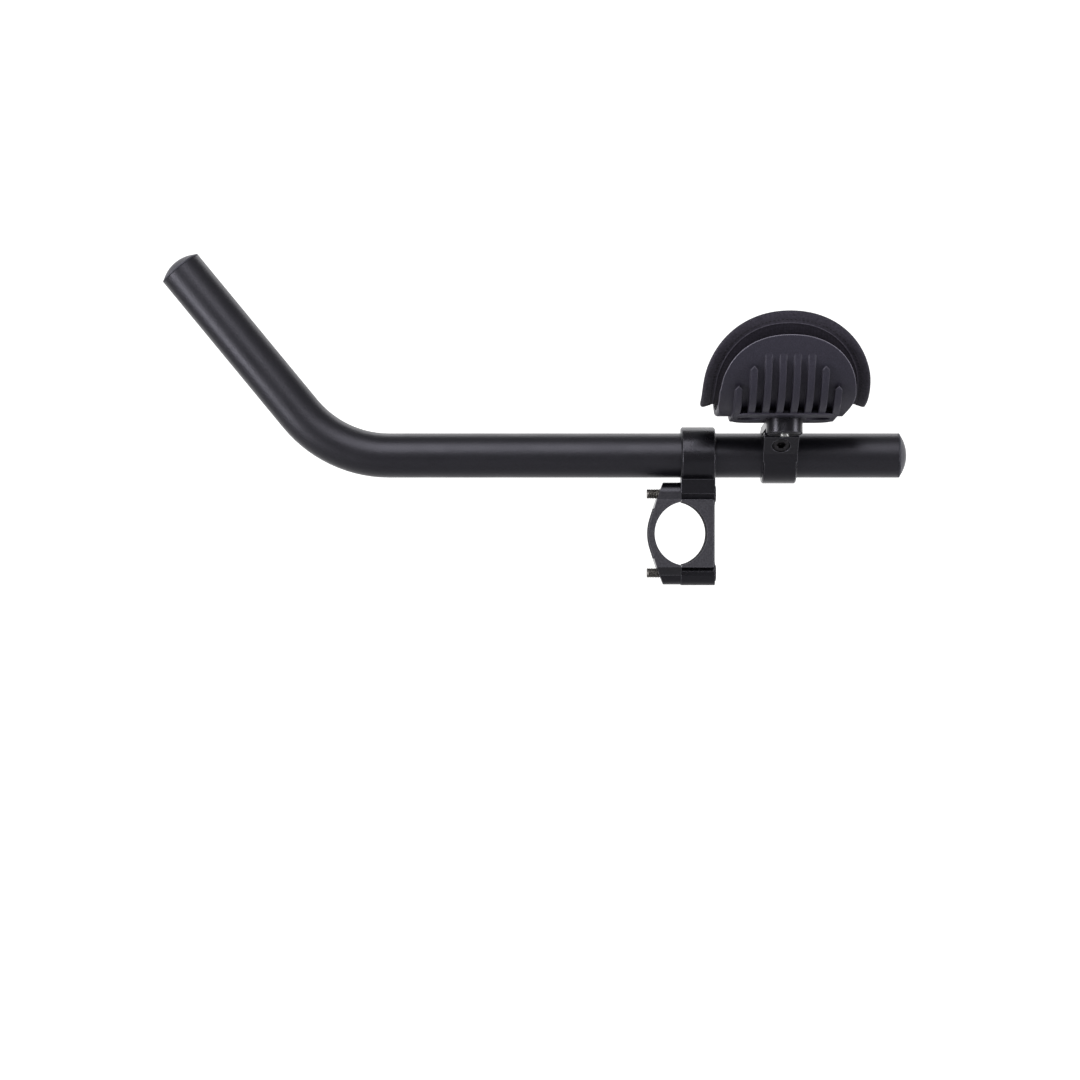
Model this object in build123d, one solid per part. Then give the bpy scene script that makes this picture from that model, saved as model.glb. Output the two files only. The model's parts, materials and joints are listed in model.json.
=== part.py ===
from build123d import *
import os
from math import cos, copysign, pi, radians, sin, sqrt, tan

# Clip-on aero handlebar extension, the rider's left one, in millimetres.
# The origin is the axis of the handlebar as it seats in the bracket body: the bar runs along Y,
# the extension points forward along -X, and +Z is up. The rider's left, outboard, is -Y.

# Extension tube
tube_diameter = 22.2
tube_wall = 1.6
tube_height = 39.0
rear_reach = 111.2
front_reach = 169.85
bend_angle = 50.5
bend_radius = 57.5
tip_length = 120.5

# End plugs
plug_depth = 12.0
plug_wall = 1.5
plug_fit = 0.05
plug_flange = 1.2
plug_dome = 3.1
plug_edge = 1.0
seam_width = 0.25
seam_depth = 0.5

# Handlebar clamp
bar_diameter = 31.8
clamp_width = 22.0
split_offset = 3.0
body_length = 17.0
face_height = 33.5
face_inset = 0.5
screw_spacing = 39.5
boss_diameter = 12.4
web_width = 15.0
edge_break = 0.7
bore_break = 0.8

# Clamp cap, drawn up against the body with no bar in the clamp
cap_travel = 5.6
cap_wall = 3.05
cap_flank_angle = 17.5
cap_nose_round = 25.0
cap_ear_diameter = 11.6
cap_ear_slope = 21.5
cap_shoulder = 4.0

# Bracket ring and its pinch lugs
ring_wall = 3.0
slide_fit = 0.05
lug_reach = 25.0
lug_height = 17.0
lug_round = 4.0
lug_slit = 1.6
lug_screw_reach = 19.0

# Socket-head screws
screw_diameter = 5.0
screw_fit = 0.05
head_diameter = 8.5
head_height = 5.0
low_head_height = 3.5
head_room = 0.3
socket_size = 4.0
socket_depth = 2.2
tip_break = 0.6
clamp_screw_length = 29.5
lug_screw_length = 14.0
pinch_screw_length = 10.0
head_sink = 4.4

# Armrest bracket: strap round the tube, with an arm that carries the cup
armrest_inset = 59.4
armrest_roll = 4.0
strap_width = 17.1
strap_wall = 2.9
arm_offset = 38.0
arm_thickness = 4.0
arm_boss_diameter = 17.8
arm_boss_height = 7.6
pinch_slit = 1.0
pinch_angle = 50.0
pinch_seat_reach = 17.0
pinch_seat_height = 5.8
pinch_rim = 1.3
pinch_sink = 3.7
ear_root_angle = 19.0

# Armrest cup
cup_seat_gap = 0.1
cup_offset = -0.4
cup_radius = 51.6
cup_wall = 3.0
cup_floor = 1.5
cup_length = 65.4
cup_height = 34.7
cup_crown_start = 6.3
cup_lip = 1.2
cup_lip_height = 6.0
cup_lip_round = 5.0
cup_heel = 9.0
cup_squareness = 2.18
base_length = 49.0
base_width = 24.0
base_round = 8.0
base_skirt_width = 37.0
base_skirt = 0.8
spare_socket_place = 16.7
spare_socket_diameter = 12.0
spare_socket_depth = 1.5
rib_width = 3.4
rib_pitch = 6.8
rib_flat = 11.0
rib_round = 0.5
rib_tips = (26.0, 26.0, 20.5, 12.0)
rib_run_outs = (0.0, 0.0, 4.5, 4.5)
cup_screw_length = 11.2
washer_diameter = 11.0
washer_thickness = 1.0
washer_room = 0.5
cup_pocket = 3.0
crown_steps = 24

# Arm pad and the hook tape behind it
pad_gap = 1.2
pad_thickness = 8.0
pad_offset = 0.5
pad_length = 82.6
pad_height = 46.4
pad_crown_start = 3.0
pad_heel = 6.0
pad_squareness = 2.12
tape_thickness = 1.0
tape_length = 26.0
wing_tape_start = 38.0
wing_tape_end = 62.0
floor_tape_start = 12.0
floor_tape_end = 26.0

tube_radius = tube_diameter / 2
tube_bore = tube_radius - tube_wall
bar_radius = bar_diameter / 2
ring_radius = tube_radius + slide_fit + ring_wall
strap_radius = tube_radius + slide_fit + strap_wall
body_end = split_offset + body_length
screw_height = screw_spacing / 2
screw_hole = screw_diameter / 2 + screw_fit
head_hole = head_diameter / 2 + head_room
trough_centre = cup_floor + cup_radius
trough_inside = cup_radius - cup_wall
tip_direction = Vector(-cos(radians(bend_angle)), 0, sin(radians(bend_angle)))
bend_vertex = Vector(-front_reach, 0, tube_height)
tip_end = bend_vertex + tip_direction * tip_length
rear_end = Vector(rear_reach, 0, tube_height)

# Places: the strap is clamped on the tube with its outboard side raised, and the cup stands on its arm.
armrest = Pos(rear_reach - armrest_inset, 0, tube_height) * Rot(-armrest_roll, 0, 0)
cup_place = armrest * Pos(0, -arm_offset, strap_radius + cup_seat_gap)


def along_x(start, radius, length, height=0.0):
    """A cylinder along X from the plane x = start, its axis at the given height."""
    return extrude(Plane.YZ.offset(start) * Pos(0, height) * Circle(radius), length)


def along_y(radius, width, x=0.0):
    """A cylinder along Y, centred on the clamp's middle plane."""
    return extrude(Plane.XZ * Pos(x, 0) * Circle(radius), width / 2, both=True)


def rounded_cylinder(start, radius, length, height, break_size):
    """A cylinder along X with both outer edges broken."""
    solid = along_x(start, radius, length, height)
    rims = solid.edges().filter_by(GeomType.CIRCLE)
    return chamfer(rims, break_size)


def socket_screw(length, cap_height):
    """A socket-head screw along Z: its seat is at z = 0 and its tip points down."""
    head = extrude(Circle(head_diameter / 2), cap_height)
    head = chamfer(head.edges().group_by(Axis.Z)[-1], edge_break)
    socket = RegularPolygon(socket_size / 2, 6, major_radius=False)
    head -= Pos(0, 0, cap_height - socket_depth) * extrude(socket, socket_depth)
    shank = extrude(Circle(screw_diameter / 2), -length)
    shank = chamfer(shank.edges().group_by(Axis.Z)[0], tip_break)
    return head + shank


def extension_tube():
    path = FilletPolyline(rear_end, bend_vertex, tip_end, radius=bend_radius)
    section = Plane(rear_end, z_dir=(-1, 0, 0)) * (Circle(tube_radius) - Circle(tube_bore))
    return sweep(section, path=path)


def end_plug():
    """A plug along Z: its spigot is below z = 0 and its dome above."""
    spigot = tube_bore - plug_fit
    flange_top = seam_width + plug_flange
    rim = tube_radius - plug_edge
    outline = Polyline(
        (0, -plug_wall),
        (spigot - plug_wall, -plug_wall),
        (spigot - plug_wall, -plug_depth),
        (spigot, -plug_depth),
        (spigot, 0),
        (tube_radius - seam_depth, 0),
        (tube_radius - seam_depth, seam_width),
        (tube_radius, seam_width),
        (tube_radius, flange_top - plug_edge / 2),
        (rim, flange_top),
    )
    dome_radius = (rim ** 2 + plug_dome ** 2) / (2 * plug_dome)
    shoulder = sqrt(dome_radius ** 2 - (rim / 2) ** 2) - dome_radius + plug_dome
    dome = ThreePointArc(
        (rim, flange_top),
        (rim / 2, flange_top + shoulder),
        (0, flange_top + plug_dome),
    )
    axis_line = Line((0, flange_top + plug_dome), (0, -plug_wall))
    return revolve(Plane.XZ * make_face([*outline.edges(), dome, axis_line]), Axis.Z)


def bracket_body():
    block_length = body_length - face_inset
    block = Pos(split_offset + block_length / 2, 0, 0) * Box(block_length, clamp_width, face_height)
    block = chamfer(block.edges().group_by(Axis.X)[-1], edge_break)
    body = block + rounded_cylinder(split_offset, ring_radius, body_length, tube_height, edge_break)
    for side in (1, -1):
        body += along_x(split_offset, boss_diameter / 2, body_length, side * screw_height)
    web = Rectangle(web_width, tube_height - screw_height)
    web = Pos(0, (tube_height + screw_height) / 2) * web
    body += extrude(Plane.YZ.offset(split_offset) * web, body_length)
    lugs = Pos(lug_reach / 2, tube_height) * RectangleRounded(lug_reach, lug_height, lug_round)
    body += extrude(Plane.YZ.offset(split_offset) * lugs, body_length)
    body -= body_cuts()
    return chamfer(bore_corners(body, 0), bore_break)


def bore_corners(half, centre):
    """The two edges of a clamp half where its bar bore meets the split."""
    corner_height = sqrt(bar_radius ** 2 - (split_offset - centre) ** 2)
    corners = []
    for edge in half.edges().filter_by(Axis.Y):
        from_split = abs(edge.center().X - split_offset)
        from_corner = abs(abs(edge.center().Z) - corner_height)
        if max(from_split, from_corner) < bore_break / 2:
            corners.append(edge)
    return corners


def body_cuts():
    """The bores, the ring's slit and the screw holes of the bracket body."""
    cuts = along_x(0, tube_radius + slide_fit, body_end + split_offset, tube_height)
    cuts += along_y(bar_radius, 2 * clamp_width)
    slit = Pos(lug_reach, tube_height) * Rectangle(2 * lug_reach, lug_slit)
    cuts += extrude(Plane.YZ * slit, 2 * body_end)
    for side in (1, -1):
        cuts += along_x(0, screw_hole, body_end, side * screw_height)
        cuts += along_x(body_end - head_sink, head_hole, head_height * 2, side * screw_height)
    lug_top = Plane.XY.offset(lug_seat_height()) * lug_screw_spot()
    cuts += extrude(lug_top * Circle(head_hole), lug_height)
    cuts += extrude(lug_top * Circle(screw_hole), -2 * lug_height)
    return cuts


def lug_seat_height():
    return tube_height + lug_height / 2 - head_sink


def lug_screw_spot():
    return Pos(split_offset + body_length / 2, lug_screw_reach)


def clamp_cap():
    nose = cap_travel - bar_radius - cap_wall
    vertex = nose - cap_nose_round * (1 / cos(radians(cap_flank_angle)) - 1)
    corner_height = face_height / 2
    corner = vertex + corner_height * tan(radians(cap_flank_angle))
    ear_height = screw_height + cap_ear_diameter / 2
    ear_end = corner + (ear_height - corner_height) * tan(radians(cap_ear_slope))
    outline = Polygon(
        (split_offset, ear_height),
        (ear_end, ear_height),
        (corner, corner_height),
        (vertex, 0),
        (corner, -corner_height),
        (ear_end, -ear_height),
        (split_offset, -ear_height),
        align=None,
    )
    outline = fillet(outline.vertices().sort_by(Axis.X)[0], cap_nose_round)
    shape = extrude(Plane.XZ * outline, clamp_width / 2, both=True)
    cap = shape & cap_section()
    cap -= along_y(bar_radius, 2 * clamp_width, cap_travel)
    for side in (1, -1):
        cap -= along_x(-2 * body_length, screw_hole, 4 * body_length, side * screw_height)
    return chamfer(bore_corners(cap, cap_travel), bore_break)


def cap_section():
    """A bar along X with the cap's end view: a wide face whose shoulders slope to a round ear at each screw."""
    face = Rectangle(clamp_width, face_height + 2 * cap_shoulder)
    face = chamfer(face.vertices(), cap_shoulder)
    for side in (1, -1):
        face += Pos(0, side * screw_height) * Circle(cap_ear_diameter / 2)
    return extrude(Plane.YZ * face, 2 * body_length, both=True)


def clamp_screw(side):
    seat = Plane((body_end - head_sink, 0, side * screw_height), z_dir=(1, 0, 0))
    return seat * socket_screw(clamp_screw_length, head_height)


def ring_pinch_screw():
    seat = Plane.XY.offset(lug_seat_height()) * lug_screw_spot()
    return seat * socket_screw(lug_screw_length, head_height)


def pinch_axis():
    """The seat plane of the pinch screw in the strap's ear, its normal along the screw towards the head."""
    rise = radians(pinch_angle)
    return Plane(
        (0, -pinch_seat_reach, pinch_seat_height),
        x_dir=(1, 0, 0),
        z_dir=(0, -cos(rise), -sin(rise)),
    )


def strap_ear():
    """The strap's near end: a lug under the arm, with its face square to the pinch screw."""
    rise = radians(pinch_angle)
    root = radians(ear_root_angle)
    land = head_diameter / 2 + pinch_rim
    face_reach = -pinch_seat_reach - pinch_sink * cos(rise)
    face_height_here = pinch_seat_height - pinch_sink * sin(rise)
    top = strap_radius - arm_thickness - pinch_slit
    ear = Polygon(
        (0, top),
        (face_reach - land * sin(rise), top),
        (face_reach - land * sin(rise), face_height_here + land * cos(rise)),
        (face_reach + land * sin(rise), face_height_here - land * cos(rise)),
        (-strap_radius * cos(root), -strap_radius * sin(root)),
        (0, -strap_radius * sin(root)),
        align=None,
    )
    return extrude(Plane.YZ * ear, strap_width / 2, both=True)


def armrest_bracket():
    half = strap_width / 2
    bracket = rounded_cylinder(-half, strap_radius, strap_width, 0, edge_break) + strap_ear()
    arm_middle = Pos(0, -arm_offset / 2, strap_radius - arm_thickness / 2)
    bracket += arm_middle * Box(strap_width, arm_offset, arm_thickness)
    boss = extrude(Circle(arm_boss_diameter / 2), -arm_boss_height)
    boss = chamfer(boss.edges().group_by(Axis.Z)[0], edge_break)
    bracket += Pos(0, -arm_offset, strap_radius) * boss
    bracket -= along_x(-strap_width, tube_radius + slide_fit, 2 * strap_width)
    slit_height = strap_radius - arm_thickness - pinch_slit / 2
    slit = Pos(0, -tube_radius, slit_height) * Box(2 * strap_width, 3 * tube_radius, pinch_slit)
    bracket -= slit & along_x(-strap_width, arm_offset - half - edge_break, 2 * strap_width)
    bracket -= pinch_axis() * extrude(Circle(head_hole), 4 * pinch_sink)
    bracket -= pinch_axis() * extrude(Circle(screw_hole), -3 * pinch_screw_length)
    bracket -= Pos(0, -arm_offset, 0) * extrude(Circle(screw_hole), strap_radius * 2)
    return bracket


def armrest_pinch_screw():
    return pinch_axis() * socket_screw(pinch_screw_length, low_head_height)


def half_moon(length, height, crown_start, heel, squareness):
    """The side outline of a wing: a squarish crown over a straight foot, with a rounded heel at the rear."""
    side = length / 2
    rise = height - crown_start
    power = 2 / squareness
    crown = []
    for step in range(crown_steps + 1):
        turn = pi * step / crown_steps
        across = copysign(abs(cos(turn)) ** power, cos(turn))
        crown.append((side * across, crown_start + rise * sin(turn) ** power))
    crown_line = Spline(*crown, tangents=((0, 1), (0, -1)))
    foot = Polyline((-side, crown_start), (-side, 0), (side, 0), (side, crown_start))
    outline = make_face([crown_line, *foot.edges()])
    corner = Pos(side, 0) * Rectangle(2 * heel, 2 * heel) - Pos(side - heel, heel) * Circle(heel)
    return outline - corner


def front_lip():
    """The flare at the front foot of the cup, which turns its edge outwards."""
    side = cup_length / 2
    return Polygon((-side, cup_lip_height), (-side - cup_lip, 0), (-side, 0), align=None)


def cup_outline():
    """The side outline of the cup's wings, with a rounded lip at the front foot."""
    outline = half_moon(cup_length, cup_height, cup_crown_start, cup_heel, cup_squareness) + front_lip()
    foot = outline.vertices().group_by(Axis.Y)[0].sort_by(Axis.X)[0]
    return Pos(cup_offset, 0) * fillet(foot, cup_lip_round)


def trough(outside, inside, half_length):
    """A round trough along X between two radii."""
    ring = Pos(0, trough_centre) * (Circle(outside) - Circle(inside))
    ring &= Pos(0, trough_centre - outside) * Rectangle(4 * outside, 2 * outside)
    return extrude(Plane.YZ * ring, half_length, both=True)


def wing_shell(outside, inside, outline, length):
    """A trough whose two wings are cut to the same side outline."""
    return trough(outside, inside, length) & extrude(Plane.XZ * outline, 2 * outside, both=True)


def rib(place, tip_height, run_out):
    """One rib across the cup: flat under the floor, then bent up to run out into both wings.

    A rib with a run-out is cut to a point at its tip, while it still stands proud of the wing.
    """
    top = tip_height + run_out
    reach = sqrt(cup_radius ** 2 - (trough_centre - top) ** 2)
    bend = ((reach - rib_flat) ** 2 + top ** 2) / (2 * top)
    fin = Pos(0, bend / 2) * Rectangle(2 * rib_flat, bend)
    for side in (1, -1):
        fin += Pos(side * rib_flat, bend) * Circle(bend)
    fin &= Pos(0, bend / 2) * Rectangle(4 * cup_radius, bend)
    fin -= Pos(0, trough_centre) * Circle(cup_radius - cup_wall / 2)
    plate = extrude(Plane.YZ.offset(place) * fin, rib_width / 2, both=True)
    outer = plate.edges().filter_by(GeomType.CIRCLE).filter_by(lambda edge: abs(edge.radius - bend) < rib_round)
    plate = fillet(outer, rib_round)
    if run_out:
        half = rib_width / 2
        point = Polygon((-half, 0), (half, 0), (half, tip_height - half), (0, tip_height),
                        (-half, tip_height - half), align=None)
        plate &= extrude(Plane.XZ * Pos(place, 0) * point, 2 * cup_radius, both=True)
    return plate


def cup_base():
    """The foot of the cup: a thick seat in a thin skirt."""
    base = extrude(RectangleRounded(base_length, base_width, base_round), cup_floor + cup_wall / 2)
    base += extrude(RectangleRounded(base_length, base_skirt_width, base_round), base_skirt)
    return Pos(cup_offset, 0, 0) * base


def armrest_cup():
    cup = wing_shell(cup_radius, trough_inside, cup_outline(), cup_length)
    for order, (tip_height, run_out) in enumerate(zip(rib_tips, rib_run_outs)):
        for side in (1, -1):
            cup += rib(cup_offset + side * (order + 0.5) * rib_pitch, tip_height, run_out)
    cup += cup_base()
    for side in (1, -1):
        socket = extrude(Circle(spare_socket_diameter / 2), spare_socket_depth)
        cup -= Pos(cup_offset + side * spare_socket_place, 0, 0) * socket
    floor_top = cup_floor + cup_wall
    pocket = washer_diameter / 2 + washer_room
    cup -= Pos(0, 0, floor_top - cup_pocket) * extrude(Circle(pocket), 2 * cup_pocket)
    cup -= Pos(0, 0, -cup_floor) * extrude(Circle(screw_hole), 2 * floor_top)
    return cup


def cup_washer():
    ring = Circle(washer_diameter / 2) - Circle(screw_hole)
    return Pos(0, 0, cup_floor + cup_wall - cup_pocket) * extrude(ring, washer_thickness)


def cup_screw():
    seat = cup_floor + cup_wall - cup_pocket + washer_thickness
    return Pos(0, 0, seat) * socket_screw(cup_screw_length, low_head_height - edge_break)


def arm_pad():
    outside = trough_inside - pad_gap
    outline = Pos(pad_offset, 0) * half_moon(pad_length, pad_height, pad_crown_start, pad_heel, pad_squareness)
    return wing_shell(outside, outside - pad_thickness, outline, pad_length)


def tape_ring():
    """The thin round layer between cup and pad in which the hook tape lies."""
    middle = trough_inside - pad_gap / 2
    return trough(middle + tape_thickness / 2, middle - tape_thickness / 2, tape_length / 2)


def wing_tape(side):
    """A strip of hook tape on one wing, between two angles up from the floor."""
    spread = wing_tape_end - wing_tape_start
    reach = 2 * cup_radius
    wedge = Polygon(
        (0, 0),
        (reach * sin(radians(wing_tape_start)), -reach * cos(radians(wing_tape_start))),
        (reach * sin(radians(wing_tape_start + spread)), -reach * cos(radians(wing_tape_start + spread))),
        align=None,
    )
    if side < 0:
        wedge = mirror(wedge, Plane.YZ)
    wedge = Pos(0, trough_centre) * wedge
    return tape_ring() & extrude(Plane.YZ * wedge, cup_length, both=True)


def floor_tape():
    """Two strips of hook tape on the floor, one each side of the screw."""
    width = floor_tape_end - floor_tape_start
    middle = (floor_tape_start + floor_tape_end) / 2
    strips = []
    for side in (1, -1):
        column = Pos(0, side * middle, 0) * Box(cup_length, width, trough_centre)
        strips.append(tape_ring() & column)
    return Compound(children=[strip.solid() for strip in strips])


def save(name, shape):
    export_step(shape, f"parts/{name}.step")
    print(name, round(shape.volume, 1))


os.makedirs("parts", exist_ok=True)
save("extension_tube", extension_tube())
save("front_end_plug", Plane(tip_end, z_dir=tip_direction) * end_plug())
save("rear_end_plug", Plane(rear_end, z_dir=(1, 0, 0)) * end_plug())
save("bracket_body", bracket_body())
save("clamp_cap", clamp_cap())
save("upper_clamp_screw", clamp_screw(1))
save("lower_clamp_screw", clamp_screw(-1))
save("ring_pinch_screw", ring_pinch_screw())
save("armrest_bracket", armrest * armrest_bracket())
save("armrest_pinch_screw", armrest * armrest_pinch_screw())
save("armrest_cup", cup_place * armrest_cup())
save("cup_washer", cup_place * cup_washer())
save("cup_screw", cup_place * cup_screw())
save("arm_pad", cup_place * arm_pad())
save("near_hook_patch", cup_place * wing_tape(-1))
save("far_hook_patch", cup_place * wing_tape(1))
save("floor_hook_patches", cup_place * floor_tape())
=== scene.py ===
# %% [markdown]
# # Aero handlebar extension
# A bent alloy tube reaches forward from the handlebar, and an armrest sits over its rear end. The solid
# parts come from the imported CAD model, already in place. This lesson gives them their finishes, sews the
# soft pad, cuts the screw threads and lights the whole like a studio photograph.

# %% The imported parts
import json
from bisect import bisect_left
from collections import Counter
from math import acos, cos, floor, pi, radians, sin

import bmesh
import bpy
import numpy as np
from mathutils import Matrix, Vector


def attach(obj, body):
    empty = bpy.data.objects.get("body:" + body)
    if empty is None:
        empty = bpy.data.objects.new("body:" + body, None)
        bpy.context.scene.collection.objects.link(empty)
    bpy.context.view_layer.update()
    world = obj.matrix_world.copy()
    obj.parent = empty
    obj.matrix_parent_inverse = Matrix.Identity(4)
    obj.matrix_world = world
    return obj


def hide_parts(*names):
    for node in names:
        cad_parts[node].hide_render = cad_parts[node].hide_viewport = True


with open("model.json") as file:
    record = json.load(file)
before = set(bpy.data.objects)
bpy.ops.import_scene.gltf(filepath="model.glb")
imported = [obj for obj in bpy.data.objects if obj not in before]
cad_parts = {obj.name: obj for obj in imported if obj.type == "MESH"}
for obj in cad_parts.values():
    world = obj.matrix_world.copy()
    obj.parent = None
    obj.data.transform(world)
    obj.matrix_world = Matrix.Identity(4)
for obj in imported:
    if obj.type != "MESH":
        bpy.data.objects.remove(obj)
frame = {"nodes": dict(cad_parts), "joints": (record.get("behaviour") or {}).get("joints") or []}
scene = bpy.context.scene
nodes = frame["nodes"]
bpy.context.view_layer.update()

# %% [markdown]
# ## Camera
# The photograph looks at the extension level and square from its outer side, from well back, so that
# there is little perspective. A long lens at 1.45 m does the same. A lens is set by similar triangles:
# sensor width to focal length is as picture width to distance.

# %% The camera
camera_place = Vector((-0.06725, -1.45, -0.00325))
picture_width = 0.54
sensor_width = 36.0

lens = bpy.data.cameras.new("camera")
lens.sensor_width = sensor_width
lens.lens = sensor_width * -camera_place.y / picture_width
camera = bpy.data.objects.new("camera", lens)
camera.location = camera_place
camera.rotation_euler = (pi / 2, 0, 0)
scene.collection.objects.link(camera)
scene.camera = camera
print("lens", round(lens.lens, 1), "mm")

# %% [markdown]
# ## Floor, backdrop and world
# The object is photographed on plain white. A strong lamp on a backdrop would do that, but it would light
# the object too. So the card behind the object shines by itself, with a strength of 1, which is white, to
# the camera and in reflections only, and adds no light to matt surfaces. The floor is a matt pale card
# that keeps the object's shadow and whitens towards the backdrop, as a paper sweep does. The world is a
# plain grey.

# %% Helpers for shader nodes
def feed(tree, socket, value):
    """Links a socket to another node's output, or sets it to a plain value."""
    if isinstance(value, bpy.types.NodeSocket):
        tree.links.new(value, socket)
    else:
        socket.default_value = value


def math_node(tree, operation, *values):
    """One sum, of numbers or of other nodes' outputs."""
    node = tree.nodes.new("ShaderNodeMath")
    node.operation = operation
    for socket, value in zip(node.inputs, values):
        feed(tree, socket, value)
    return node.outputs[0]


def ramp(tree, source, low, high):
    """Stretches a value so that low becomes 0 and high becomes 1."""
    node = tree.nodes.new("ShaderNodeMapRange")
    node.inputs["From Min"].default_value = low
    node.inputs["From Max"].default_value = high
    tree.links.new(source, node.inputs["Value"])
    return node.outputs["Result"]


# %% A material that is white to the camera
def shown_white(name, shine, card_colour, sweep):
    """White to rays that are seen: none at the first depth of the sweep, all of it at the second."""
    material = bpy.data.materials.new(name)
    material.use_nodes = True
    tree = material.node_tree
    tree.nodes.clear()
    rays = tree.nodes.new("ShaderNodeLightPath").outputs
    direct = math_node(tree, "MAXIMUM", rays["Is Camera Ray"], rays["Is Glossy Ray"])
    seen = math_node(tree, "MAXIMUM", direct, rays["Is Transmission Ray"])
    spot = tree.nodes.new("ShaderNodeTexCoord")
    depth = tree.nodes.new("ShaderNodeSeparateXYZ")
    tree.links.new(spot.outputs["Object"], depth.inputs[0])
    whiter = math_node(tree, "MULTIPLY", seen, ramp(tree, depth.outputs["Y"], *sweep))
    glow = tree.nodes.new("ShaderNodeEmission")
    tree.links.new(math_node(tree, "MULTIPLY", whiter, shine), glow.inputs["Strength"])
    matt = tree.nodes.new("ShaderNodeBsdfDiffuse")
    matt.inputs["Color"].default_value = card_colour
    both = tree.nodes.new("ShaderNodeAddShader")
    tree.links.new(glow.outputs[0], both.inputs[0])
    tree.links.new(matt.outputs[0], both.inputs[1])
    output = tree.nodes.new("ShaderNodeOutputMaterial")
    tree.links.new(both.outputs[0], output.inputs["Surface"])
    return material


# %% Floor and backdrop
def card(name, width, depth, place, turn, material):
    """A flat card that belongs to the studio and not to the object."""
    mesh = bpy.data.meshes.new(name)
    x, y = width / 2, depth / 2
    mesh.from_pydata([(-x, -y, 0), (x, -y, 0), (x, y, 0), (-x, y, 0)], [], [(0, 1, 2, 3)])
    mesh.materials.append(material)
    piece = bpy.data.objects.new(name, mesh)
    piece.location = place
    piece.rotation_euler = turn
    scene.collection.objects.link(piece)
    print(name, width, "by", depth, "m")


floor_white = shown_white("floor_white", shine=0.55, card_colour=(0.5, 0.5, 0.5, 1), sweep=(0.0, 0.7))
backdrop_white = shown_white("backdrop_white", shine=1.0, card_colour=(0.6, 0.6, 0.6, 1), sweep=(-4.0, -3.5))
card("floor", width=2.0, depth=1.85, place=(-0.06, -0.075, -0.45), turn=(0, 0, 0), material=floor_white)
card("backdrop", width=9.0, depth=7.0, place=(0, 3.0, 1.5), turn=(pi / 2, 0, 0), material=backdrop_white)

# %% The world
world_grey = (0.28, 0.28, 0.28, 1)
world = bpy.data.worlds.new("studio")
world.use_nodes = True
world.node_tree.nodes["Background"].inputs["Color"].default_value = world_grey
scene.world = world
scene.view_settings.view_transform = "Standard"
print("world", world.name)

# %% [markdown]
# ## Lamps
# A round black tube shows its lamps as long bands, so the bands tell where the lamps were. One runs high
# on the level tube: a wide soft box above the camera. A second runs low on the raised end: a tall box on
# the left. The upright boss under the armrest has one band at each side: that box again, and one like it
# on the right. A weak box behind the object lights its back, for views from there. Each is a plain area
# lamp, because then the place and the width of its band follow from its own place and size.

# %% Lamps
def soft_box(name, place, target, width, height, power):
    """A rectangular lamp that faces its target."""
    lamp = bpy.data.lights.new(name, "AREA")
    lamp.shape = "RECTANGLE"
    lamp.size = width
    lamp.size_y = height
    lamp.energy = power
    piece = bpy.data.objects.new(name, lamp)
    piece.location = place
    piece.rotation_euler = (Vector(target) - Vector(place)).to_track_quat("-Z", "Y").to_euler()
    scene.collection.objects.link(piece)
    print(name, power, "W")


soft_box("key_box", place=(-0.2, -1.29, 1.08), target=(-0.06, 0, 0.05), width=1.0, height=1.3, power=13.5)
soft_box("left_box", place=(-1.2, -0.7, -0.12), target=(-0.08, 0, 0.06), width=0.4, height=1.3, power=15.0)
soft_box("right_box", place=(1.3, -0.45, 0.0), target=(0.05, 0, 0.05), width=0.4, height=1.0, power=10.0)
soft_box("rear_box", place=(0.0, 1.0, 1.2), target=(-0.05, 0, 0.04), width=1.4, height=0.6, power=3.0)

# %% [markdown]
# ## Shared effects
# Most finishes here need the same two effects: a fine grain and edges that are a little rounded. Each is
# a node group, built once and placed in every material with its own values. Small helpers make the
# sockets and the mixes. The Mix node has a set of sockets for each kind of value, so the helper knows
# where each set is.

# %% Helpers for node groups
def new_group(name, inputs, outputs):
    """An empty group, with the sockets that it is given and those that it fills."""
    group = bpy.data.node_groups.new(name, "ShaderNodeTree")
    for label, kind in inputs:
        group.interface.new_socket(label, in_out="INPUT", socket_type="NodeSocket" + kind)
    for label, kind in outputs:
        group.interface.new_socket(label, in_out="OUTPUT", socket_type="NodeSocket" + kind)
    given = group.nodes.new("NodeGroupInput").outputs
    result = group.nodes.new("NodeGroupOutput").inputs
    return group, given, result


mix_sockets = {
    "FLOAT": {"first": 2, "second": 3, "result": 0},
    "RGBA": {"first": 6, "second": 7, "result": 2},
}


def blend(tree, kind, share, first, second):
    """Mixes two numbers (FLOAT) or two colours (RGBA) by a share."""
    sockets = mix_sockets[kind]
    node = tree.nodes.new("ShaderNodeMix")
    node.data_type = kind
    feed(tree, node.inputs[0], share)
    feed(tree, node.inputs[sockets["first"]], first)
    feed(tree, node.inputs[sockets["second"]], second)
    return node.outputs[sockets["result"]]


# %% [markdown]
# ### Fine grain
# Blasted alloy, anodising and moulded plastic all have a grain of less than a millimetre. A picture of it
# would need unwrapped meshes. Noise in the part's own coordinates needs none, and it moves with the part.
# A second, much larger noise varies the gloss from place to place, as handling and uneven anodising do.

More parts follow.
